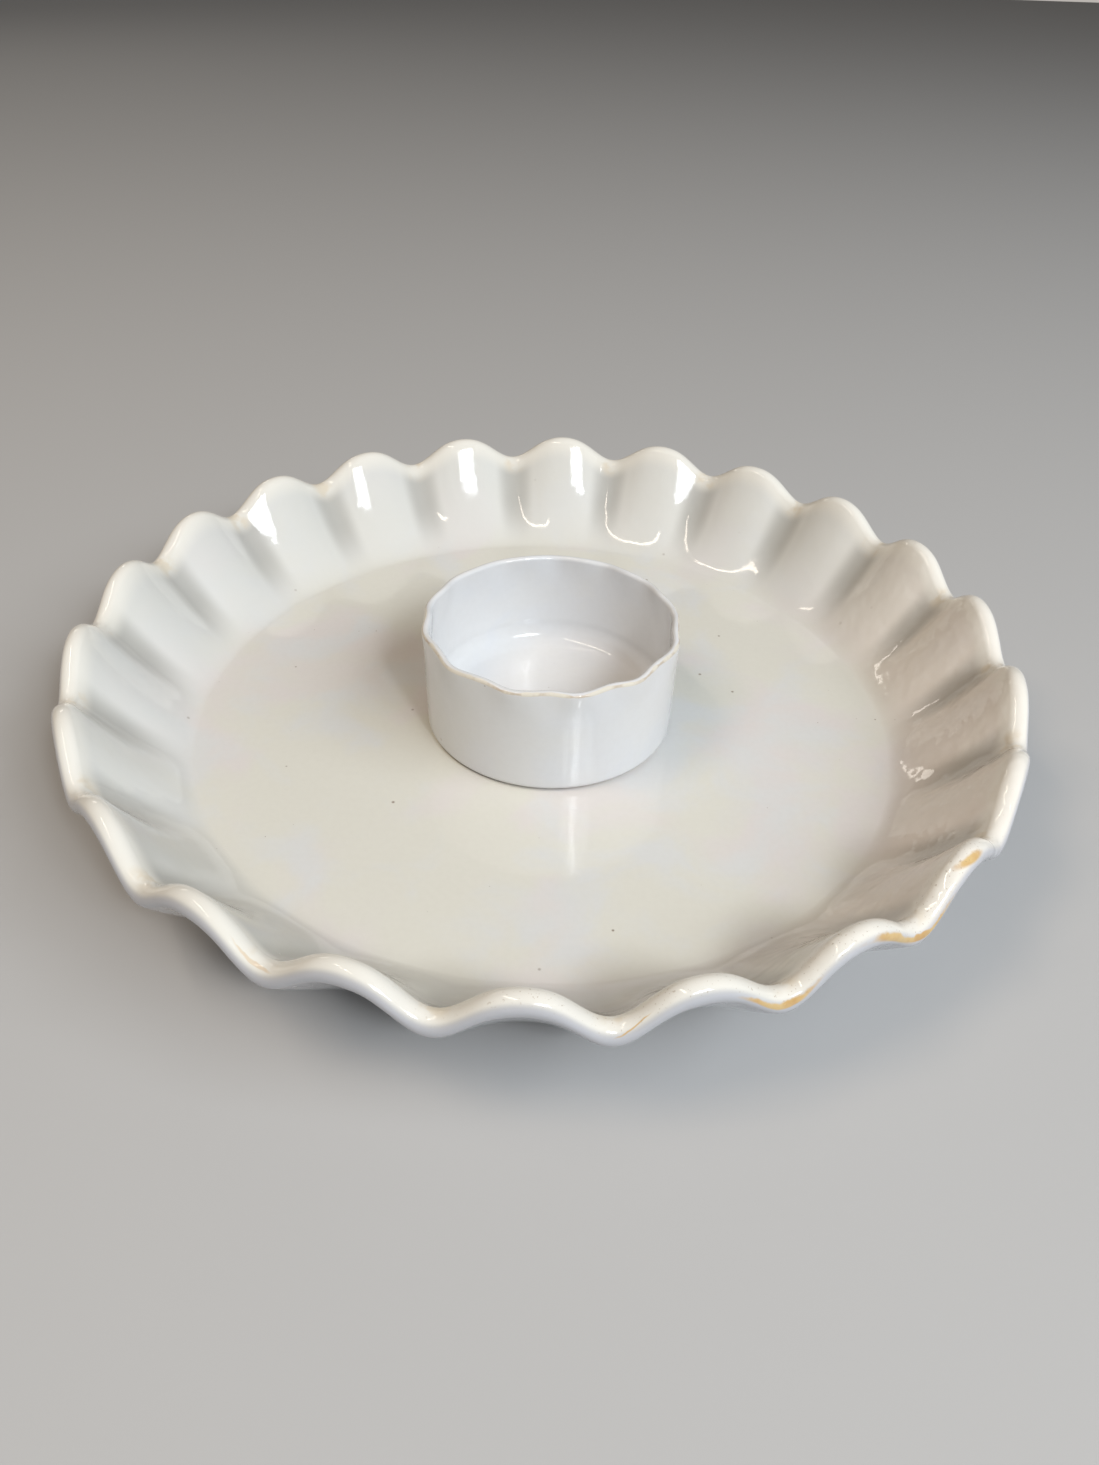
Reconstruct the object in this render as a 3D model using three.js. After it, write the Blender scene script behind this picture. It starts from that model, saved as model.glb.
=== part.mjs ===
// Chip and dip server: a wide stoneware platter whose deep rim is pinched into flutes,
// and a small straight-sided dip bowl that stands loose in the middle of it.
// Millimetres, +Z up. The origin is on the table, under the middle of the platter.

import * as THREE from 'three';

// Platter
const LIP_RADIUS = 168.6; // to the middle of the rounded lip
const CREASE_RADIUS = 132; // where the flat floor turns up into the wall
const FOOT_HEIGHT = 3;
const CLAY_THICKNESS = 6.5;
const LIP_RISE = 32.6; // middle of the lip above the floor inside, halfway up a flute
const LIP_ROUND = 3.9;
const WALL_CURVE = 1.4; // above 1 the wall leaves the floor gently and steepens upward
const FOOT_OUTER_RADIUS = 121;
const FOOT_WIDTH = 8;
const FOOT_DRAFT = 1.5; // how far each side of the foot ring leans
const LIP_WARP = { rise: 1.4, cycles: 2, phase: 27 }; // from drying and firing

// Flutes: the rim goes up over a ridge and down into a channel, again and again
const FLUTE_COUNT = 22;
const FLUTE_LIFT = 5.4; // up at a ridge and down in a channel, at the lip
const FLUTE_PULL = 0.6; // in towards the middle at a ridge and out in a channel
const FLUTE_FADE = 1.1; // above 1 the flutes die out gently towards the floor
const RIDGE_BREADTH = 0.24; // above 0 the ridges are broader than the channels
const FIRST_RIDGE = 88.9; // degrees round from +X
// The ridges were spaced by eye: each term lets them drift ahead of and behind an even
// spacing, by `drift` degrees, `cycles` times round the rim.
const SPACING_DRIFT = [
  { cycles: 1, drift: 0.55, phase: -125 },
  { cycles: 3, drift: 0.5, phase: 104 },
];

// Dip bowl
const BOWL_RADIUS = 47.9; // outside, at the lip
const BOWL_HEIGHT = 43.6;
const BOWL_TAPER = 0.5; // narrower at the base by this much
const BOWL_WALL = 2.8;
const BOWL_BASE = 4.5;
const BOWL_EDGE_ROUND = 2.5;
const BOWL_INNER_ROUND = 8;
const BOWL_FOOT_WIDTH = 7;
const BOWL_FOOT_RECESS = 1.2;
const SCALLOP_COUNT = 13;
const SCALLOP_SWING = 0.6;
const SCALLOP_DEPTH = 14; // how far down the wall the scallops fade away
const BOWL_PLACE = [1.7, 1.2]; // where it was set down, a touch off the middle
const RESTING_GAP = 0.3;

const FLOOR_TOP = FOOT_HEIGHT + CLAY_THICKNESS;
const PLATTER_SEGMENTS = FLUTE_COUNT * 8;
const BOWL_SEGMENTS = SCALLOP_COUNT * 7;

const whiteGlaze = new THREE.MeshStandardMaterial({
  color: '#d9d2c6',
  roughness: 0.2,
  metalness: 0,
});

const blueWhiteGlaze = new THREE.MeshStandardMaterial({
  color: '#d3d4d8',
  roughness: 0.2,
  metalness: 0,
});

const radians = THREE.MathUtils.degToRad;

// Points on an arc, in order, both ends included.
function arc(centreR, centreZ, radius, fromDegrees, toDegrees, steps) {
  return Array.from({ length: steps + 1 }, (_, i) => {
    const angle = radians(fromDegrees + ((toDegrees - fromDegrees) * i) / steps);
    return { r: centreR + radius * Math.cos(angle), z: centreZ + radius * Math.sin(angle) };
  });
}

// Turns an outline of { r, z } points, from the axis under the piece round to the axis on
// top of it, about Z. `shape` then moves each point: it gets the outline point and the
// angle in radians, and gives the new radius and height.
function turned(outline, segments, shape) {
  const points = outline.map(({ r, z }) => new THREE.Vector2(r, z));
  const geometry = new THREE.LatheGeometry(points, segments);
  geometry.rotateX(Math.PI / 2);
  const position = geometry.attributes.position;
  for (let i = 0; i < position.count; i += 1) {
    const point = outline[i % outline.length];
    const angle = Math.atan2(position.getY(i), position.getX(i));
    const { r, z } = point.r === 0 ? point : shape(point, angle);
    position.setXYZ(i, r * Math.cos(angle), r * Math.sin(angle), z);
  }
  geometry.deleteAttribute('uv');
  geometry.computeVertexNormals();
  return geometry;
}

// +1 along each ridge and -1 along each channel.
function fluteWave(angle) {
  const start = angle - radians(FIRST_RIDGE);
  const drift = SPACING_DRIFT.reduce(
    (sum, term) => sum + radians(term.drift) * Math.cos(term.cycles * start - radians(term.phase)),
    0,
  );
  const turn = FLUTE_COUNT * (start - drift);
  return Math.cos(turn) + RIDGE_BREADTH * Math.sin(turn) ** 2;
}

// The middle of the platter's wall. `up` is 0 at the crease and 1 at the lip; `side` is
// how far to the inside (+) or outside (-) of the middle the point lies.
function wallPoint(up, side) {
  const width = LIP_RADIUS - CREASE_RADIUS;
  const rise = LIP_RISE + CLAY_THICKNESS / 2;
  const slope = Math.atan2(rise * WALL_CURVE * up ** (WALL_CURVE - 1), width);
  return {
    r: CREASE_RADIUS + width * up - side * Math.sin(slope),
    z: FLOOR_TOP - CLAY_THICKNESS / 2 + rise * up ** WALL_CURVE + side * Math.cos(slope),
    flute: up ** FLUTE_FADE,
  };
}

function footRing() {
  const inner = FOOT_OUTER_RADIUS - FOOT_WIDTH;
  return [
    { r: inner - FOOT_DRAFT, z: FOOT_HEIGHT },
    { r: inner, z: 0 },
    { r: FOOT_OUTER_RADIUS, z: 0 },
    { r: FOOT_OUTER_RADIUS + FOOT_DRAFT, z: FOOT_HEIGHT },
  ].map((point) => ({ ...point, flute: 0 }));
}

function platter() {
  const half = CLAY_THICKNESS / 2;
  const heights = [0, 0.2, 0.4, 0.6, 0.8];
  const lip = wallPoint(1, 0);
  const outline = [
    { r: 0, z: FOOT_HEIGHT, flute: 0 },
    ...footRing(),
    ...heights.map((up) => wallPoint(up, -half)),
    ...arc(lip.r, lip.z, LIP_ROUND, -50, 155, 6).map((point) => ({ ...point, flute: 1 })),
    ...heights.toReversed().map((up) => wallPoint(up, half)),
    { r: 0, z: FLOOR_TOP, flute: 0 },
  ];
  const geometry = turned(outline, PLATTER_SEGMENTS, ({ r, z, flute }, angle) => {
    const wave = flute * fluteWave(angle);
    const warp = flute * LIP_WARP.rise * Math.cos(LIP_WARP.cycles * angle - radians(LIP_WARP.phase));
    return { r: r - FLUTE_PULL * wave, z: z + FLUTE_LIFT * wave + warp };
  });
  const mesh = new THREE.Mesh(geometry, whiteGlaze);
  mesh.name = 'platter';
  return mesh;
}

function dipBowl() {
  const base = BOWL_RADIUS - BOWL_TAPER;
  const inner = BOWL_RADIUS - BOWL_WALL;
  const lipRound = BOWL_WALL / 2;
  const edge = BOWL_EDGE_ROUND;
  const corner = BOWL_INNER_ROUND;
  const footInner = base - edge - BOWL_FOOT_WIDTH;
  const outline = [
    { r: 0, z: BOWL_FOOT_RECESS },
    { r: footInner - BOWL_FOOT_RECESS, z: BOWL_FOOT_RECESS },
    { r: footInner, z: 0 },
    ...arc(base - edge, edge, edge, -90, 0, 3),
    { r: BOWL_RADIUS, z: BOWL_HEIGHT - SCALLOP_DEPTH },
    ...arc(BOWL_RADIUS - lipRound, BOWL_HEIGHT - lipRound, lipRound, 0, 180, 4),
    { r: inner, z: BOWL_HEIGHT - SCALLOP_DEPTH },
    ...arc(inner - corner, BOWL_BASE + corner, corner, 0, -90, 4),
    { r: 0, z: BOWL_BASE },
  ];
  const geometry = turned(outline, BOWL_SEGMENTS, ({ r, z }, angle) => {
    const fade = THREE.MathUtils.smoothstep(z, BOWL_HEIGHT - SCALLOP_DEPTH, BOWL_HEIGHT);
    return { r: r + fade * SCALLOP_SWING * Math.cos(SCALLOP_COUNT * angle), z };
  });
  const mesh = new THREE.Mesh(geometry, blueWhiteGlaze);
  mesh.name = 'dip_bowl';
  mesh.position.set(...BOWL_PLACE, FLOOR_TOP + RESTING_GAP);
  return mesh;
}

const server = new THREE.Group();
server.add(platter());
server.add(dipBowl());

export default server;
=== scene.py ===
import math

import bpy
from mathutils import Matrix, Vector


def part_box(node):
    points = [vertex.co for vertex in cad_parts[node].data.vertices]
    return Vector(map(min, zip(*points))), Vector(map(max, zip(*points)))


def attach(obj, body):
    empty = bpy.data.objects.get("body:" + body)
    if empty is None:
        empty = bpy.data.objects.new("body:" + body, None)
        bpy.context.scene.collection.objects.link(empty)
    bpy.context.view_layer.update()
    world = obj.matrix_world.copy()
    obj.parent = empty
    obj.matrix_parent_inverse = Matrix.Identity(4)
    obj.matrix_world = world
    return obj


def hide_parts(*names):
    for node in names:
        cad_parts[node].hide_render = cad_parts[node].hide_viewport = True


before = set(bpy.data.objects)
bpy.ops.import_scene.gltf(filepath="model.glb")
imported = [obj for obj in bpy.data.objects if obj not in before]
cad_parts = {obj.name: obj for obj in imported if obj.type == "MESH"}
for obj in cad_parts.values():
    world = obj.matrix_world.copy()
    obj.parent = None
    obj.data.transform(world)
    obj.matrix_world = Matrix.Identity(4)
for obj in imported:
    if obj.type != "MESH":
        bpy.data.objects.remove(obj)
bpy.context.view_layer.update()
MM = 0.001

# ------------------------------------------------------------------ platter
# One heavy piece of thrown stoneware: a flat floor, a flared wall and a thick rounded lip.
# While the clay was soft the wall was pushed up and down by hand into flutes, deep at the
# lip and fading out before they reach the floor. It stands on a turned foot ring.

platter_low, platter_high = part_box("platter")
LIP_ROUND = 3.9 * MM
CLAY = 6.5 * MM
FOOT_HEIGHT = 3 * MM
FOOT_WIDTH = 8 * MM
FOOT_EDGE = 0.9 * MM
FLUTES = 22
FLUTE_LIFT = 5.4 * MM
FLUTE_PULL = 0.6 * MM
FLUTE_START = 0.15  # the flutes begin this far up the wall, and set in softly
FLUTE_SOFTNESS = 0.15
LIP_WARP = 1.4 * MM
WALL_CURVE = 1.4  # above 1 the wall leaves the floor gently and steepens upward
CREASE_SOFTNESS = 0.18
THICKENS_FROM = 0.6  # the wall starts to thicken towards the lip this far up
FLOOR_TO_LIP = 0.783  # the flat floor's radius as a share of the lip's
FOOT_TO_LIP = 0.718
LIP_RADIUS = (platter_high.x - platter_low.x) / 2 - LIP_ROUND - FLUTE_PULL
LIP_HEIGHT = platter_high.z - LIP_ROUND - FLUTE_LIFT - LIP_WARP
CREASE_RADIUS = LIP_RADIUS * FLOOR_TO_LIP
FOOT_RADIUS = LIP_RADIUS * FOOT_TO_LIP
FLOOR_TOP = FOOT_HEIGHT + CLAY


def arc(centre_r, centre_z, radius, start, end, steps):
    """Points (r, z) along a round edge, from one angle to another in degrees."""
    angles = [math.radians(start + (end - start) * i / steps) for i in range(steps + 1)]
    return [(centre_r + radius * math.cos(a), centre_z + radius * math.sin(a)) for a in angles]


def platter_wall(up, side):
    """A point (r, z) of the wall, and its slope.

    up is 0 at the crease and 1 at the lip, and side is how far inside (+) or outside the
    middle of the clay the point lies.
    """
    width = LIP_RADIUS - CREASE_RADIUS
    rise = LIP_HEIGHT - FLOOR_TOP + CLAY / 2
    soft = CREASE_SOFTNESS**2
    whole = (1 + soft) ** (WALL_CURVE / 2) - soft ** (WALL_CURVE / 2)
    height = ((up * up + soft) ** (WALL_CURVE / 2) - soft ** (WALL_CURVE / 2)) / whole
    steepness = WALL_CURVE * up * (up * up + soft) ** (WALL_CURVE / 2 - 1) / whole
    slope = math.atan2(rise * steepness, width)
    r = CREASE_RADIUS + width * up - side * math.sin(slope)
    return r, FLOOR_TOP - CLAY / 2 + rise * height + side * math.cos(slope), slope


def flute_share(up):
    """How far the wall takes part in the flutes: hardly at the crease, then with its height."""
    at_crease = math.hypot(FLUTE_START, FLUTE_SOFTNESS)
    at_lip = math.hypot(1 - FLUTE_START, FLUTE_SOFTNESS) + 1
    here = math.hypot(up - FLUTE_START, FLUTE_SOFTNESS) + up
    return (here - at_crease) / (at_lip - at_crease)


def half_thickness(up):
    """Half the wall's thickness, which grows into the rounded lip."""
    return CLAY / 2 + (LIP_ROUND - CLAY / 2) * max(0, up - THICKENS_FROM) / (1 - THICKENS_FROM)


def platter_outline():
    """Points (r, z, climb, across) from under the middle, out round the lip and back over the floor.

    climb says how far a point takes part in the flutes, and across runs over the lip from
    -1 on the inside to +1 on the outside.
    """
    inner = FOOT_RADIUS - FOOT_WIDTH
    fillet = 2 * FOOT_EDGE
    under = [(0, FOOT_HEIGHT), (inner * 0.5, FOOT_HEIGHT), (inner - fillet, FOOT_HEIGHT)]
    under += arc(inner + FOOT_EDGE, FOOT_EDGE, FOOT_EDGE, 180, 270, 4)
    under += arc(FOOT_RADIUS - FOOT_EDGE, FOOT_EDGE, FOOT_EDGE, 270, 360, 4)
    under += arc(FOOT_RADIUS + fillet, FOOT_HEIGHT - fillet, fillet, 180, 90, 4)
    points = [(r, z, 0, 1) for r, z in under]
    wall_steps = 26
    for i in range(wall_steps):
        up = i / wall_steps
        points.append((*platter_wall(up, -half_thickness(up))[:2], flute_share(up), 1))
    lip_r, lip_z, slope = platter_wall(1, 0)
    tilt = math.degrees(slope)
    lip_steps = 18
    for i, (r, z) in enumerate(arc(lip_r, lip_z, LIP_ROUND, tilt - 90, tilt + 90, lip_steps)):
        points.append((r, z, 1, 1 - 2 * i / lip_steps))
    for i in reversed(range(wall_steps)):
        up = (i / wall_steps) ** 1.3  # closer together near the crease
        points.append((*platter_wall(up, half_thickness(up))[:2], flute_share(up), -1))
    floor_steps = 22
    for i in range(1, floor_steps + 1):
        points.append((CREASE_RADIUS * (1 - i / floor_steps), FLOOR_TOP, 0, -1))
    return points


def outline_object(name, points):
    """The half outline of a turned piece, as loose edges that carry climb and across."""
    mesh = bpy.data.meshes.new(name)
    edges = [(i, i + 1) for i in range(len(points) - 1)]
    mesh.from_pydata([(r, 0, z) for r, z, _, _ in points], edges, [])
    for field, column in (("climb", 2), ("across", 3)):
        attribute = mesh.attributes.new(field, "FLOAT", "POINT")
        attribute.data.foreach_set("value", [p[column] for p in points])
    made = bpy.data.objects.new(name, mesh)
    bpy.context.scene.collection.objects.link(made)
    return made


def add_node(tree, kind, inputs=(), **settings):
    """One node with its settings, and its inputs: a socket is linked, and anything else is set."""
    made = tree.nodes.new(kind)
    for name, value in settings.items():
        setattr(made, name, value)
    for key, value in dict(inputs).items():
        if isinstance(value, bpy.types.NodeSocket):
            tree.links.new(value, made.inputs[key])
        else:
            made.inputs[key].default_value = value
    return made


def maths(tree, operation, *values):
    return add_node(tree, "ShaderNodeMath", enumerate(values), operation=operation).outputs[0]


def plus(tree, first, second):
    return maths(tree, "ADD", first, second)


def minus(tree, first, second):
    return maths(tree, "SUBTRACT", first, second)


def times(tree, first, *others):
    for other in others:
        first = maths(tree, "MULTIPLY", first, other)
    return first


def noise(tree, place, scale, detail, distortion=0.0):
    """A soft random value, about a half, that changes from place to place."""
    inputs = {"Vector": place, "Scale": scale, "Detail": detail, "Distortion": distortion}
    return add_node(tree, "ShaderNodeTexNoise", inputs).outputs[0]


def new_sockets(tree, in_out, kind, *names):
    for name in names:
        tree.interface.new_socket(name, in_out=in_out, socket_type="NodeSocket" + kind)


def waved_turning_tree():
    """Turns an outline round Z and sends a wave round it: the rule behind both rims."""
    tree = bpy.data.node_groups.new("waved_turning", "GeometryNodeTree")
    new_sockets(tree, "INPUT", "Geometry", "Outline")
    new_sockets(tree, "INPUT", "Int", "Steps Round", "Waves")
    new_sockets(tree, "INPUT", "Float", "Lift", "Pull", "Warp", "Warp Turn", "First Crest")
    new_sockets(tree, "INPUT", "Float", "Slow Drift", "Slow Turn", "Quick Drift", "Quick Turn")
    new_sockets(tree, "INPUT", "Float", "Broad Crests", "Unevenness", "Ripple", "Ripple Scale", "Seed")
    new_sockets(tree, "INPUT", "Material", "Glaze")
    new_sockets(tree, "OUTPUT", "Geometry", "Piece")
    given = add_node(tree, "NodeGroupInput").outputs

    # A sheet with one column for each step round and one row for each point of the outline.
    counted = add_node(
        tree, "GeometryNodeAttributeDomainSize", {"Geometry": given["Outline"]}, component="MESH"
    )
    rows = counted.outputs["Point Count"]
    columns = plus(tree, given["Steps Round"], 1)
    sheet = add_node(
        tree, "GeometryNodeMeshGrid", {"Size X": 1, "Size Y": 1, "Vertices X": columns, "Vertices Y": rows}
    ).outputs["Mesh"]
    position = add_node(tree, "GeometryNodeInputPosition").outputs[0]
    place = add_node(tree, "ShaderNodeSeparateXYZ", {0: position}).outputs
    angle = times(tree, plus(tree, place["X"], 0.5), 2 * math.pi)
    row = maths(tree, "ROUND", times(tree, plus(tree, place["Y"], 0.5), minus(tree, rows, 1)))

    def from_outline(field, data_type):
        inputs = {"Geometry": given["Outline"], "Value": field, "Index": row}
        return add_node(tree, "GeometryNodeSampleIndex", inputs, data_type=data_type).outputs["Value"]

    def outline_field(name):
        read = add_node(tree, "GeometryNodeInputNamedAttribute", {"Name": name}, data_type="FLOAT")
        return from_outline(read.outputs["Attribute"], "FLOAT")

    outline_point = from_outline(position, "FLOAT_VECTOR")
    outline_place = add_node(tree, "ShaderNodeSeparateXYZ", {0: outline_point}).outputs
    climb = outline_field("climb")
    across = outline_field("across")

    # The wave: the crests drift a little ahead of and behind an even spacing, as a hand sets them.
    start = minus(tree, angle, given["First Crest"])
    slow = maths(tree, "COSINE", minus(tree, start, given["Slow Turn"]))
    quick = maths(tree, "COSINE", minus(tree, times(tree, start, 3), given["Quick Turn"]))
    drift = plus(tree, times(tree, slow, given["Slow Drift"]), times(tree, quick, given["Quick Drift"]))
    turns = times(tree, minus(tree, start, drift), given["Waves"])
    flank = maths(tree, "SINE", turns)
    ridge = plus(tree, maths(tree, "COSINE", turns), times(tree, flank, flank, given["Broad Crests"]))

    # Each crest is a little higher or lower than the next, and the whole lip sags out of true.
    cosine = maths(tree, "COSINE", angle)
    sine = maths(tree, "SINE", angle)
    circle = add_node(tree, "ShaderNodeCombineXYZ", {0: cosine, 1: sine, 2: given["Seed"]}).outputs[0]
    uneven = times(tree, minus(tree, noise(tree, circle, 3, 0), 0.5), given["Unevenness"])
    push = times(tree, ridge, plus(tree, 1, uneven), climb)
    sag = maths(tree, "COSINE", minus(tree, times(tree, angle, 2), given["Warp Turn"]))
    sag = times(tree, sag, given["Warp"], climb)
    radius = minus(tree, outline_place["X"], times(tree, push, given["Pull"]))
    radius = times(tree, radius, maths(tree, "GREATER_THAN", outline_place["X"], 0))
    height = plus(tree, plus(tree, outline_place["Z"], times(tree, push, given["Lift"])), sag)
    turned = add_node(
        tree,
        "ShaderNodeCombineXYZ",
        {0: times(tree, radius, cosine), 1: times(tree, radius, sine), 2: height},
    ).outputs[0]

    # The fields are read off the flat sheet before it is turned, because they come from its places.
    piece = sheet
    for name, value in (("climb", climb), ("across", across), ("ridge", ridge)):
        piece = add_node(
            tree,
            "GeometryNodeStoreNamedAttribute",
            {"Geometry": piece, "Name": name, "Value": value},
            data_type="FLOAT",
            domain="POINT",
        ).outputs["Geometry"]
    piece = add_node(tree, "GeometryNodeSetPosition", {"Geometry": piece, "Position": turned}).outputs[0]
    welded = {"Geometry": piece, "Distance": 0.002 * MM}
    piece = add_node(tree, "GeometryNodeMergeByDistance", welded).outputs[0]

    # A slight unevenness left by the fingers, which the reflections show.
    waver = noise(tree, position, given["Ripple Scale"], 1)
    climbed = add_node(tree, "GeometryNodeInputNamedAttribute", {"Name": "climb"}, data_type="FLOAT")
    strength = times(tree, given["Ripple"], climbed.outputs["Attribute"])
    strength = times(tree, minus(tree, waver, 0.5), strength)
    normal = add_node(tree, "GeometryNodeInputNormal").outputs[0]
    scaled = {0: normal, "Scale": strength}
    offset = add_node(tree, "ShaderNodeVectorMath", scaled, operation="SCALE").outputs[0]
    piece = add_node(tree, "GeometryNodeSetPosition", {"Geometry": piece, "Offset": offset}).outputs[0]
    smooth = {"Geometry": piece, "Shade Smooth": True}
    piece = add_node(tree, "GeometryNodeSetShadeSmooth", smooth).outputs[0]
    piece = add_node(tree, "GeometryNodeRealizeInstances", {"Geometry": piece}).outputs[0]
    glazed = {"Geometry": piece, "Material": given["Glaze"]}
    piece = add_node(tree, "GeometryNodeSetMaterial", glazed).outputs[0]
    add_node(tree, "NodeGroupOutput", {"Piece": piece})
    return tree


def turn_piece(name, points, tree, **settings):
    """Sends an outline through a tree, and gives the finished piece as a plain mesh."""
    outline = outline_object(name + "_outline", points)
    modifier = outline.modifiers.new(name, "NODES")
    modifier.node_group = tree
    sockets = {i.name: i.identifier for i in tree.interface.items_tree if i.in_out == "INPUT"}
    for words, value in settings.items():
        modifier[sockets[words.replace("_", " ").title()]] = value
    depsgraph = bpy.context.evaluated_depsgraph_get()
    mesh = bpy.data.meshes.new_from_object(outline.evaluated_get(depsgraph), depsgraph=depsgraph)
    bpy.data.objects.remove(outline)
    made = bpy.data.objects.new(name, mesh)
    bpy.context.scene.collection.objects.link(made)
    return made


def mixed(tree, factor, first, second):
    """Two colours mixed by a factor; a colour is a socket or a triple."""
    made = add_node(tree, "ShaderNodeMix", {"Factor": factor}, data_type="RGBA")
    for key, colour in ((6, first), (7, second)):
        if isinstance(colour, bpy.types.NodeSocket):
            tree.links.new(colour, made.inputs[key])
        else:
            made.inputs[key].default_value = (*colour, 1)
    return made.outputs[2]


def ramp(tree, value, low, high, to_low=0.0, to_high=1.0):
    """A smooth rise of a value from one level to another, held outside them."""
    levels = {"Value": value, "From Min": low, "From Max": high, "To Min": to_low, "To Max": to_high}
    return add_node(tree, "ShaderNodeMapRange", levels, interpolation_type="SMOOTHSTEP").outputs[0]


def object_place(tree):
    return add_node(tree, "ShaderNodeTexCoord").outputs["Object"]


def attribute(tree, name):
    return add_node(tree, "ShaderNodeAttribute", attribute_name=name).outputs["Fac"]


def glaze_tree():
    """What every glaze of this kiln shows: clouds in its thickness, iron specks and an uneven skin."""
    tree = bpy.data.node_groups.new("stoneware_glaze", "ShaderNodeTree")
    new_sockets(tree, "INPUT", "Color", "Glaze", "Thick", "Thin", "Speck")
    new_sockets(tree, "INPUT", "Float", "Cloud Scale", "Clouds", "Specks", "Waver")
    new_sockets(tree, "OUTPUT", "Color", "Color")
    new_sockets(tree, "OUTPUT", "Float", "Roughness", "Height")
    given = add_node(tree, "NodeGroupInput").outputs
    place = object_place(tree)

    # Where the glaze lies thick it turns one way, and where it ran thin another.
    broad = noise(tree, place, given["Cloud Scale"], 3.0, 0.6)
    other = noise(tree, place, times(tree, given["Cloud Scale"], 1.7), 4.0, 0.4)
    thick = times(tree, ramp(tree, broad, 0.46, 0.66), given["Clouds"])
    thin = times(tree, ramp(tree, other, 0.48, 0.7), given["Clouds"])
    colour = mixed(tree, thick, given["Glaze"], given["Thick"])
    colour = mixed(tree, thin, colour, given["Thin"])
    mottle = ramp(tree, noise(tree, place, 420.0, 3.0), 0.3, 0.75)
    mottle = times(tree, mottle, 0.02)
    colour = mixed(tree, mottle, colour, given["Speck"])

    def specks(scale, radius, chance):
        """Round spots of mixed sizes, with a chance of one in each cell of the scale."""
        cell = add_node(tree, "ShaderNodeTexVoronoi", {"Vector": place, "Scale": scale, "Randomness": 1.0})
        drawn = add_node(tree, "ShaderNodeSeparateColor", {0: cell.outputs["Color"]}).outputs
        grown = times(tree, plus(tree, drawn[1], 0.4), radius)
        edge = {"Value": cell.outputs["Distance"], "From Min": grown, "From Max": times(tree, grown, 0.5)}
        spot = add_node(tree, "ShaderNodeMapRange", edge).outputs[0]
        return times(tree, spot, maths(tree, "LESS_THAN", drawn[0], chance))

    iron = times(tree, specks(scale=95.0, radius=0.06, chance=0.45), given["Specks"])
    pepper = times(tree, specks(scale=260.0, radius=0.06, chance=0.10), given["Specks"])
    colour = mixed(tree, times(tree, iron, 0.8), colour, given["Speck"])
    colour = mixed(tree, times(tree, pepper, 0.45), colour, given["Speck"])

    # The skin: slow swells, a fine orange peel, and a pinhole at each small speck.
    skin = times(tree, noise(tree, place, 55.0, 2.0), given["Waver"])
    skin = plus(tree, skin, times(tree, noise(tree, place, 700.0, 1.0), 0.012))
    skin = minus(tree, skin, times(tree, pepper, 0.05))
    dulled = ramp(tree, noise(tree, place, 160.0, 3.0), 0.3, 0.8, 0.05, 0.12)
    dulled = plus(tree, dulled, times(tree, iron, 0.3))
    add_node(tree, "NodeGroupOutput", {"Color": colour, "Roughness": dulled, "Height": skin})
    return tree


def stain_tree():
    """One iron stain: a mask about a place given by its angle and by how far across the lip it lies."""
    tree = bpy.data.node_groups.new("rim_stain", "ShaderNodeTree")
    new_sockets(tree, "INPUT", "Float", "Angle", "Across", "Ragged", "Middle", "Half Length")
    new_sockets(tree, "INPUT", "Float", "Line", "Slant", "Half Width")
    new_sockets(tree, "OUTPUT", "Float", "Mask")
    given = add_node(tree, "NodeGroupInput").outputs
    torn = minus(tree, given["Ragged"], 0.5)
    along = maths(tree, "DIVIDE", minus(tree, given["Angle"], given["Middle"]), given["Half Length"])
    line = plus(tree, given["Line"], times(tree, along, given["Slant"]))
    line = plus(tree, line, times(tree, torn, 0.5))
    aside = maths(tree, "DIVIDE", minus(tree, given["Across"], line), given["Half Width"])
    squares = plus(tree, maths(tree, "POWER", along, 2.0), maths(tree, "POWER", aside, 2.0))
    reach = plus(tree, maths(tree, "SQRT", squares), torn)
    add_node(tree, "NodeGroupOutput", {"Mask": ramp(tree, reach, 1.15, 0.55)})
    return tree


GLAZE_IOR = 1.56
CLAY_BUFF = (0.50, 0.40, 0.29)
CLAY_BROWN = (0.36, 0.27, 0.18)
CLAY_ROUGHNESS = 0.8


def glaze_material(name, kiln_glaze, **values):
    """A new glossy material: itself, its tree, its shader and its glaze's outputs."""
    made = bpy.data.materials.new(name)
    made.use_nodes = True
    shader = made.node_tree.nodes["Principled BSDF"]
    shader.inputs["IOR"].default_value = GLAZE_IOR
    glaze = add_node(made.node_tree, "ShaderNodeGroup", node_tree=kiln_glaze)
    for words, value in values.items():
        is_colour = isinstance(value, tuple)
        glaze.inputs[words.replace("_", " ").title()].default_value = (*value, 1) if is_colour else value
    return made, made.node_tree, shader, glaze.outputs


def wipe_foot(tree, place, ragged, colour, covered, wiped):
    """Bare clay below a height: covered is where the glaze is whole, and wiped where it is gone."""
    bare = ramp(tree, place["Z"], covered, wiped)
    clay = mixed(tree, ragged, CLAY_BUFF, CLAY_BROWN)
    return mixed(tree, bare, colour, clay), bare


def finish_glaze(tree, shader, colour, roughness, bare, skin):
    """Leads the colour, the roughness and the bumps of a glaze to its shader."""
    tree.links.new(colour, shader.inputs["Base Color"])
    dull = maths(tree, "MAXIMUM", roughness, times(tree, bare, CLAY_ROUGHNESS))
    tree.links.new(dull, shader.inputs["Roughness"])
    bump = add_node(tree, "ShaderNodeBump", {"Height": skin, "Distance": 0.5 * MM, "Strength": 0.6})
    tree.links.new(bump.outputs[0], shader.inputs["Normal"])


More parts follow.
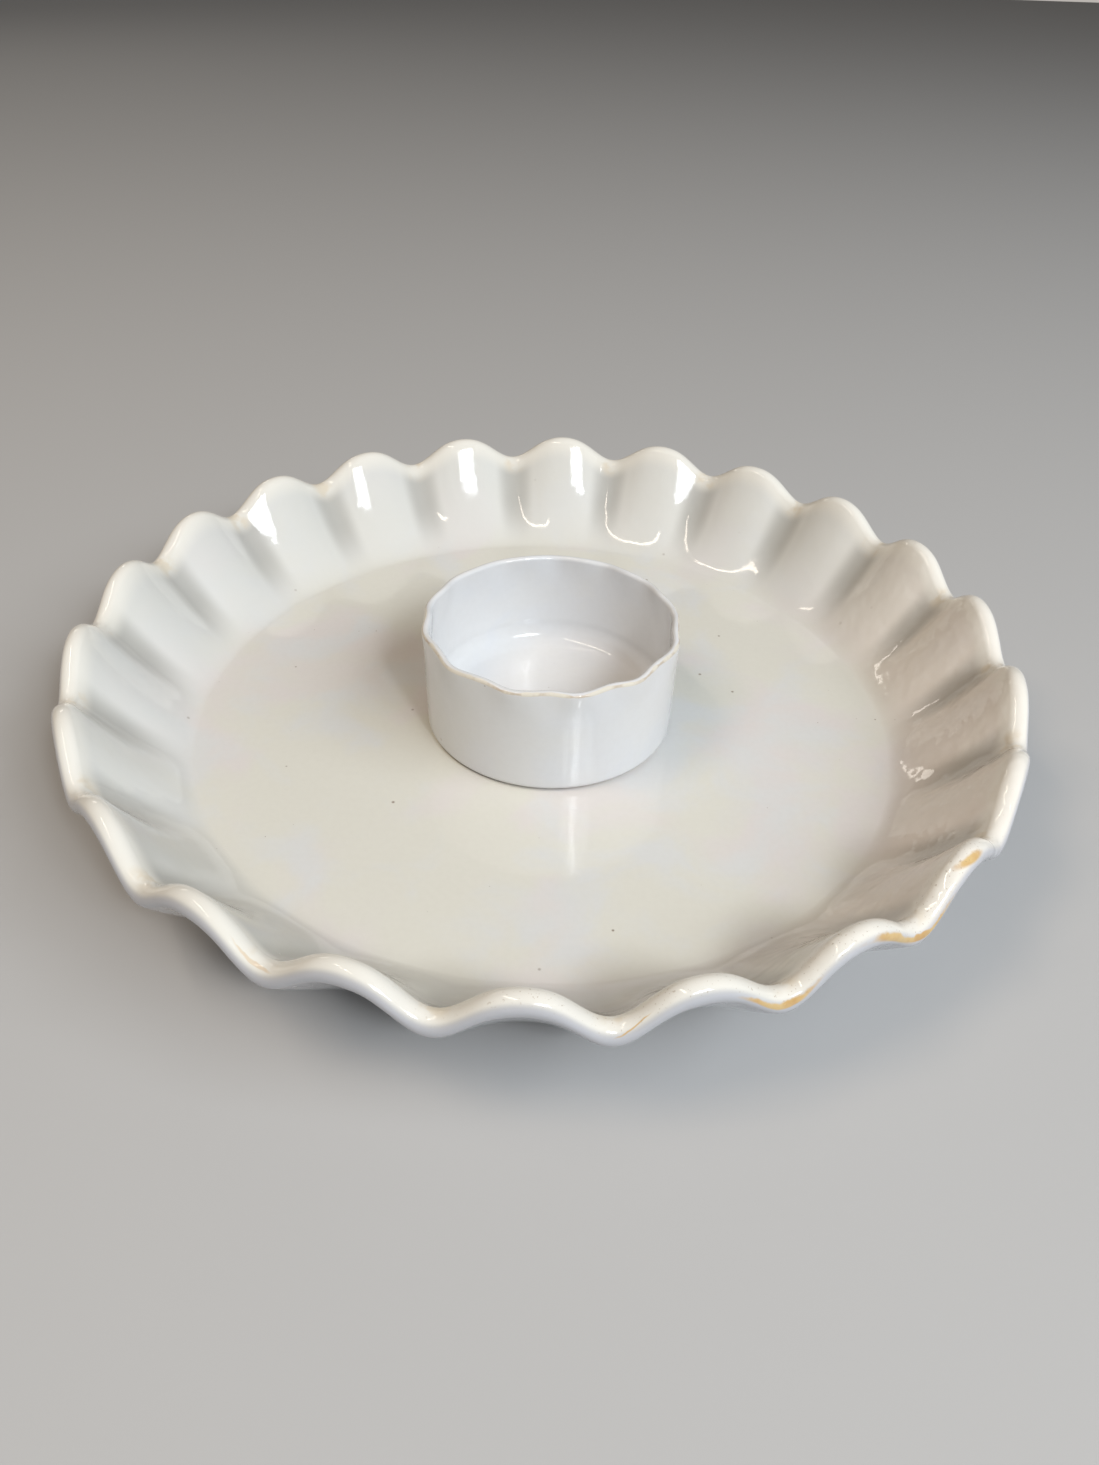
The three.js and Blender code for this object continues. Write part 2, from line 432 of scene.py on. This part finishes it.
# The platter's glaze is a warm white, with pinker and greyer clouds.
stoneware_glaze = glaze_tree()
platter_glaze, tree, shader, glaze = glaze_material(
    "platter_glaze",
    stoneware_glaze,
    glaze=(0.675, 0.662, 0.595),
    thick=(0.68, 0.64, 0.625),
    thin=(0.655, 0.662, 0.655),
    speck=(0.16, 0.10, 0.06),
    cloud_scale=19.0,
    clouds=0.85,
    specks=1.0,
    waver=0.5,
)
climb = attribute(tree, "climb")
across = attribute(tree, "across")
ridge = attribute(tree, "ridge")
place = add_node(tree, "ShaderNodeSeparateXYZ", {0: object_place(tree)}).outputs
angle = maths(tree, "ARCTAN2", place["Y"], place["X"])
squares = plus(tree, maths(tree, "POWER", place["X"], 2.0), maths(tree, "POWER", place["Y"], 2.0))
out = maths(tree, "SQRT", squares)
ragged = noise(tree, object_place(tree), 140.0, 4.0)


def on_side(tree, angle, turn, starts, whole):
    """A mask for one side of the platter, whose middle is turn radians from +X towards the front.

    starts and whole are the cosines of the angles from that middle where it begins and is full.
    """
    return ramp(tree, maths(tree, "COSINE", plus(tree, angle, turn)), starts, whole)


# The glaze is cooler on the wall. Warm light is painted onto the right side of the wall, and painted
# shade onto the front. Painted shade also darkens the channels between the ridges.
WALL_WHITE = (0.70, 0.695, 0.665)
PAINTED_WARM_LIGHT = (0.80, 0.725, 0.65)
PAINTED_FRONT_SHADE = (0.455, 0.445, 0.405)
PAINTED_CHANNEL_SHADE = (0.36, 0.35, 0.32)
on_wall = ramp(tree, out, CREASE_RADIUS - 5 * MM, CREASE_RADIUS + 13 * MM)
# painted light: the right side of the wall is made warmer and lighter, as if lit by a warm lamp
warm_lit_side = on_side(tree, angle, turn=0.35, starts=0.45, whole=0.9)
# painted shade: the front of the wall is darkened and greyed, as if in shade
front_shade = on_side(tree, angle, turn=1.75, starts=0.55, whole=0.97)
wall_tone = mixed(tree, warm_lit_side, WALL_WHITE, PAINTED_WARM_LIGHT)
wall_tone = mixed(tree, times(tree, front_shade, 0.8), wall_tone, PAINTED_FRONT_SHADE)
colour = mixed(tree, times(tree, on_wall, 0.75), glaze["Color"], wall_tone)
# painted shade: the channels between the ridges are darkened, most near the lip
channel_shade = times(tree, ramp(tree, ridge, 0.0, -1.0), ramp(tree, climb, 0.0, 0.65))
inside = ramp(tree, across, -0.3, -0.9)
colour = mixed(tree, times(tree, channel_shade, inside, 0.65), colour, PAINTED_CHANNEL_SHADE)

# The lip is creamier on top, with a painted highlight that makes it lighter there. Its outer face, and the
# wall outside, are painted a darker blue-grey: partly a bluer glaze, partly painted shade.
LIP_CREAM_AND_HIGHLIGHT = (0.83, 0.80, 0.725)
BLUE_GLAZE_AND_SHADE = (0.49, 0.495, 0.53)
# partly painted highlight: the top of the lip is made creamier and lighter
on_lip = ramp(tree, climb, 0.86, 1.0)
on_top = times(tree, on_lip, minus(tree, 1, ramp(tree, across, -0.02, 0.42)))
colour = mixed(tree, times(tree, on_top, 0.75), colour, LIP_CREAM_AND_HIGHLIGHT)
# partly painted shade: the lip's outer face and the outside wall are darkened and made bluer
on_face = times(tree, on_wall, ramp(tree, across, 0.0, 0.42))
colour = mixed(tree, times(tree, on_face, 0.85), colour, BLUE_GLAZE_AND_SHADE)

# Iron has bled out of the clay along the lip, most of all to the right of the front.
# Each stain has its angle and half its length in degrees, its line across the lip and how
# that slants, half its width across the lip, and its strength.
STAINS = (
    ("by_the_high_edge", -42.5, 1.9, -0.05, 0.2, 0.30, 0.85),
    ("long_streak", -52.0, 6.5, 0.42, 0.05, 0.20, 0.85),
    ("long_streak_end", -54.5, 3.2, 0.40, 0.05, 0.34, 0.85),
    ("middle_streak", -67.5, 4.2, 0.36, -0.1, 0.20, 0.85),
    ("thin_line", -81.0, 1.7, 0.1, -0.25, 0.05, 0.7),
    ("left_low_point", -116.0, 2.4, -0.1, 0.1, 0.09, 0.35),
)
OCHRE_DARK = (0.55, 0.30, 0.06)
OCHRE_PALE = (0.66, 0.44, 0.15)
rim_stain = stain_tree()
stained = None
for label, middle, half_length, line, slant, half_width, strength in STAINS:
    values = {
        "Angle": angle,
        "Across": across,
        "Ragged": ragged,
        "Middle": math.radians(middle),
        "Half Length": math.radians(half_length),
        "Line": line,
        "Slant": slant,
        "Half Width": half_width,
    }
    stain = add_node(tree, "ShaderNodeGroup", node_tree=rim_stain, label=label)
    for key, value in values.items():
        if isinstance(value, float):
            stain.inputs[key].default_value = value
        else:
            tree.links.new(value, stain.inputs[key])
    mask = times(tree, stain.outputs["Mask"], strength)
    stained = mask if stained is None else maths(tree, "MAXIMUM", stained, mask)
stained = times(tree, stained, ramp(tree, climb, 0.9, 1.0))
ochre = mixed(tree, ramp(tree, ragged, 0.35, 0.65), OCHRE_DARK, OCHRE_PALE)
colour = mixed(tree, stained, colour, ochre)

# A little tan has run to the low points of the lip, and fine iron grains pepper its front.
LOW_POINT_TAN = (0.62, 0.48, 0.28)
GRAIN_BROWN = (0.3, 0.2, 0.11)
low_point = times(tree, ramp(tree, ridge, -0.55, -1.0), ramp(tree, ragged, 0.45, 0.62))
low_point = times(tree, low_point, on_lip, ramp(tree, across, 0.1, -0.5))
colour = mixed(tree, times(tree, low_point, 0.35), colour, LOW_POINT_TAN)
grains = ramp(tree, noise(tree, object_place(tree), 1300.0, 1.0), 0.66, 0.76)
iron_side = on_side(tree, angle, turn=1.15, starts=0.75, whole=0.97)
peppered = times(tree, grains, on_top, iron_side)
colour = mixed(tree, times(tree, peppered, 0.5), colour, GRAIN_BROWN)

# The foot ring was wiped clean of glaze, and shows the buff clay. The wall kept the dimples
# of the fingers, most of all on its right side, where warm light is painted.
colour, bare = wipe_foot(tree, place, ragged, colour, 1.4 * MM, 1.0 * MM)
dimpled = times(tree, on_wall, ramp(tree, warm_lit_side, 0.0, 1.0, 0.3, 1.6))
dimples = times(tree, noise(tree, object_place(tree), 150.0, 1.0), dimpled)
finish_glaze(tree, shader, colour, glaze["Roughness"], bare, plus(tree, glaze["Height"], dimples))

waved_turning = waved_turning_tree()
platter = turn_piece(
    "platter_ware",
    platter_outline(),
    waved_turning,
    steps_round=FLUTES * 32,
    waves=FLUTES,
    lift=FLUTE_LIFT,
    pull=FLUTE_PULL,
    warp=LIP_WARP,
    warp_turn=math.radians(27),
    first_crest=math.radians(88.9),
    slow_drift=math.radians(0.55),
    slow_turn=math.radians(-125),
    quick_drift=math.radians(0.5),
    quick_turn=math.radians(104),
    broad_crests=0.24,
    unevenness=0.2,
    ripple=0.3 * MM,
    ripple_scale=60.0,
    seed=4.0,
    glaze=platter_glaze,
)
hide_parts("platter")
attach(platter, "platter")

# ----------------------------------------------------------------- dip bowl
# A small thrown bowl with straight sides and a thin lip that was nipped into faint scallops.
# It is glazed a bluer white than the platter, and stands loose on the platter's floor.

bowl_low, bowl_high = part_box("dip_bowl")
BOWL_CENTRE = (bowl_low + bowl_high) / 2
BOWL_WALL = 2.8 * MM
BOWL_BASE = 4.5 * MM
BOWL_EDGE = 2.5 * MM
BOWL_CORNER = 8 * MM
BOWL_TAPER = 0.5 * MM
BOWL_FOOT_WIDTH = 7 * MM
BOWL_FOOT_RECESS = 1.2 * MM
SCALLOPS = 13
SCALLOP_PULL = 0.6 * MM
SCALLOP_LIFT = 0.3 * MM
SCALLOP_DEPTH = 14 * MM
BOWL_RING = 0.15 * MM  # a throwing ring left inside, just above the rounded corner
BOWL_RING_UP = 1.5 * MM
BOWL_RING_SPREAD = 3 * MM
BOWL_RADIUS = (bowl_high.x - bowl_low.x) / 2 - SCALLOP_PULL
BOWL_HEIGHT = bowl_high.z - bowl_low.z - SCALLOP_LIFT


def bowl_outline():
    """Points (r, z, climb, across) of the bowl, with z from its own foot."""

    def scalloped(z):
        share = min(1, max(0, (z - BOWL_HEIGHT + SCALLOP_DEPTH) / SCALLOP_DEPTH))
        return share * share * (3 - 2 * share)

    base = BOWL_RADIUS - BOWL_TAPER
    foot = base - BOWL_EDGE - BOWL_FOOT_WIDTH
    inner = BOWL_RADIUS - BOWL_WALL
    lip_start = BOWL_HEIGHT - BOWL_WALL / 2
    recess_edge = foot - BOWL_FOOT_RECESS
    outside = [(0, BOWL_FOOT_RECESS), (foot * 0.5, BOWL_FOOT_RECESS), (recess_edge, BOWL_FOOT_RECESS)]
    outside += [(foot, 0), (foot + BOWL_FOOT_WIDTH * 0.5, 0)]
    outside += arc(base - BOWL_EDGE, BOWL_EDGE, BOWL_EDGE, -90, 0, 10)
    wall_steps = 24
    for i in range(1, wall_steps):
        share = i / wall_steps
        outside.append((base + BOWL_TAPER * share, BOWL_EDGE + (lip_start - BOWL_EDGE) * share))
    lip = arc(BOWL_RADIUS - BOWL_WALL / 2, lip_start, BOWL_WALL / 2, 0, 180, 14)
    floor_corner = BOWL_BASE + BOWL_CORNER
    inside = []
    for i in range(1, wall_steps):
        z = lip_start - (lip_start - floor_corner) * i / wall_steps
        ring = BOWL_RING * math.exp(-(((z - floor_corner - BOWL_RING_UP) / BOWL_RING_SPREAD) ** 2))
        inside.append((inner - ring, z))
    inside += arc(inner - BOWL_CORNER, floor_corner, BOWL_CORNER, 0, -90, 14)
    floor_steps = 8
    for i in range(1, floor_steps + 1):
        inside.append(((inner - BOWL_CORNER) * (1 - i / floor_steps), BOWL_BASE))
    points = [(r, z, scalloped(z), 1) for r, z in outside]
    points += [(r, z, scalloped(z), 1 - 2 * i / (len(lip) - 1)) for i, (r, z) in enumerate(lip)]
    points += [(r, z, scalloped(z), -1) for r, z in inside]
    return points


bowl_glaze, tree, shader, glaze = glaze_material(
    "bowl_glaze",
    stoneware_glaze,
    glaze=(0.72, 0.72, 0.72),
    thick=(0.70, 0.71, 0.73),
    thin=(0.72, 0.718, 0.71),
    speck=(0.2, 0.14, 0.1),
    cloud_scale=26.0,
    clouds=0.7,
    specks=0.7,
    waver=0.25,
)
across = attribute(tree, "across")
place = add_node(tree, "ShaderNodeSeparateXYZ", {0: object_place(tree)}).outputs
ragged = noise(tree, object_place(tree), 170.0, 3.0)

# Glaze drew back from the thin edge, which shows the cream slip and a little iron.
SLIP_CREAM = (0.72, 0.66, 0.54)
SLIP_IRON = (0.5, 0.39, 0.27)
off_middle = maths(tree, "ABSOLUTE", minus(tree, across, 0.62))
worn = ramp(tree, plus(tree, off_middle, minus(tree, ragged, 0.5)), 0.42, 0.14)
worn = times(tree, worn, ramp(tree, across, 0.98, 0.88))
edge = mixed(tree, ramp(tree, ragged, 0.42, 0.62), SLIP_CREAM, SLIP_IRON)
colour = mixed(tree, times(tree, worn, 0.8), glaze["Color"], edge)
colour, bare = wipe_foot(tree, place, ragged, colour, bowl_low.z + 0.5 * MM, bowl_low.z + 0.2 * MM)
finish_glaze(tree, shader, colour, glaze["Roughness"], bare, glaze["Height"])

bowl = turn_piece(
    "dip_bowl_ware",
    bowl_outline(),
    waved_turning,
    steps_round=SCALLOPS * 28,
    waves=SCALLOPS,
    lift=SCALLOP_LIFT,
    pull=SCALLOP_PULL,
    warp=0.0,
    warp_turn=0.0,
    first_crest=math.radians(20),
    slow_drift=math.radians(4),
    slow_turn=0.0,
    quick_drift=math.radians(2),
    quick_turn=0.0,
    broad_crests=0.0,
    unevenness=1.2,
    ripple=0.1 * MM,
    ripple_scale=60.0,
    seed=9.0,
    glaze=bowl_glaze,
)
bowl.data.transform(Matrix.Translation((BOWL_CENTRE.x, BOWL_CENTRE.y, bowl_low.z)))
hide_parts("dip_bowl")
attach(bowl, "dip_bowl")

# ------------------------------------------------------------ table and room
# A plain pale table top in a quiet room, lit by a wide window on the right, a smaller one
# behind the viewer, and warm lamps on the left.

TABLE_SIZE = 6.0
TABLE_TOP = -0.1 * MM  # just clear of the foot's bare face
TABLE_GREY = (0.47, 0.467, 0.462, 1)
table_mesh = bpy.data.meshes.new("table")
reach = TABLE_SIZE / 2
corners = [(-reach, -reach, TABLE_TOP), (reach, -reach, TABLE_TOP)]
corners += [(reach, reach, TABLE_TOP), (-reach, reach, TABLE_TOP)]
table_mesh.from_pydata(corners, [], [(0, 1, 2, 3)])
table = bpy.data.objects.new("table", table_mesh)
bpy.context.scene.collection.objects.link(table)
paint = bpy.data.materials.new("table_paint")
paint.use_nodes = True
paint_shader = paint.node_tree.nodes["Principled BSDF"]
paint_shader.inputs["Base Color"].default_value = TABLE_GREY
paint_shader.inputs["Roughness"].default_value = 0.7
table_mesh.materials.append(paint)

# The room gives little light, but its wall looks pale behind the table.
ROOM_LIGHT = 0.115
ROOM_LOOKS = 0.5
world = bpy.data.worlds.new("room")
world.use_nodes = True
room_light = world.node_tree.nodes["Background"]
room_light.inputs["Color"].default_value = (1.0, 0.94, 0.88, 1)
seen = add_node(world.node_tree, "ShaderNodeLightPath").outputs["Is Camera Ray"]
levels = {"Value": seen, "To Min": ROOM_LIGHT, "To Max": ROOM_LOOKS}
brightness = add_node(world.node_tree, "ShaderNodeMapRange", levels).outputs[0]
world.node_tree.links.new(brightness, room_light.inputs["Strength"])
bpy.context.scene.world = world


def soft_light(name, azimuth, elevation, distance, size, power, colour, mirrored=True):
    """A soft box that looks at the middle of the platter.

    azimuth is from +X and elevation from level, in degrees; size is its width and height in
    metres; and a light that isn't mirrored leaves no highlight in the glaze.
    """
    data = bpy.data.lights.new(name, "AREA")
    data.shape = "RECTANGLE"
    data.size, data.size_y = size
    data.energy = power
    data.color = colour
    lamp = bpy.data.objects.new(name, data)
    lamp.visible_glossy = mirrored
    a, e = math.radians(azimuth), math.radians(elevation)
    away = Vector((math.cos(a) * math.cos(e), math.sin(a) * math.cos(e), math.sin(e)))
    lamp.location = away * distance + Vector((0, 0, FLOOR_TOP))
    lamp.rotation_euler = away.to_track_quat("Z", "Y").to_euler()
    bpy.context.scene.collection.objects.link(lamp)


DAYLIGHT = (0.86, 0.93, 1.0)
soft_light("window", -62, 40, 1.6, (0.60, 0.30), 6.0, (0.90, 0.95, 1.0))
soft_light("window_gap", -64, 40, 1.55, (0.13, 0.27), 4.4, (0.93, 0.97, 1.0))
soft_light("side_window", -30, 42, 2.2, (1.7, 1.2), 33, DAYLIGHT, mirrored=False)
soft_light("ceiling", 200, 58, 1.8, (0.6, 0.6), 7.5, (1.0, 0.80, 0.60), mirrored=False)
soft_light("ceiling_lamp", 206, 69, 1.7, (1.3, 0.08), 3.8, (1.0, 0.88, 0.74))
soft_light("doorway", 122, 24, 2.2, (0.5, 0.14), 1.0, (1.0, 0.93, 0.84))

# The camera looks down on the front of the platter, tilted a little to one side.
CAMERA_PITCH = math.radians(38.52)
CAMERA_ROLL = 0.0338
CAMERA_DISTANCE = 2.5443 * LIP_RADIUS
CAMERA_AIM = Vector((0.0149 * LIP_RADIUS, -0.0688 * LIP_RADIUS, FLOOR_TOP))
LENS = 27.46
forward = Vector((0, math.cos(CAMERA_PITCH), -math.sin(CAMERA_PITCH)))
level_up = Vector((0, math.sin(CAMERA_PITCH), math.cos(CAMERA_PITCH)))
level_right = Vector((1, 0, 0))
right = math.cos(CAMERA_ROLL) * level_right + math.sin(CAMERA_ROLL) * level_up
up = math.cos(CAMERA_ROLL) * level_up - math.sin(CAMERA_ROLL) * level_right
camera_data = bpy.data.cameras.new("camera")
camera_data.lens = LENS
camera_data.sensor_width = 36
camera_data.clip_start = 0.01
camera = bpy.data.objects.new("camera", camera_data)
turn = Matrix((right, up, -forward)).transposed()
camera.matrix_world = Matrix.Translation(CAMERA_AIM - forward * CAMERA_DISTANCE) @ turn.to_4x4()
bpy.context.scene.collection.objects.link(camera)
bpy.context.scene.camera = camera
bpy.context.scene.view_settings.view_transform = "Standard"
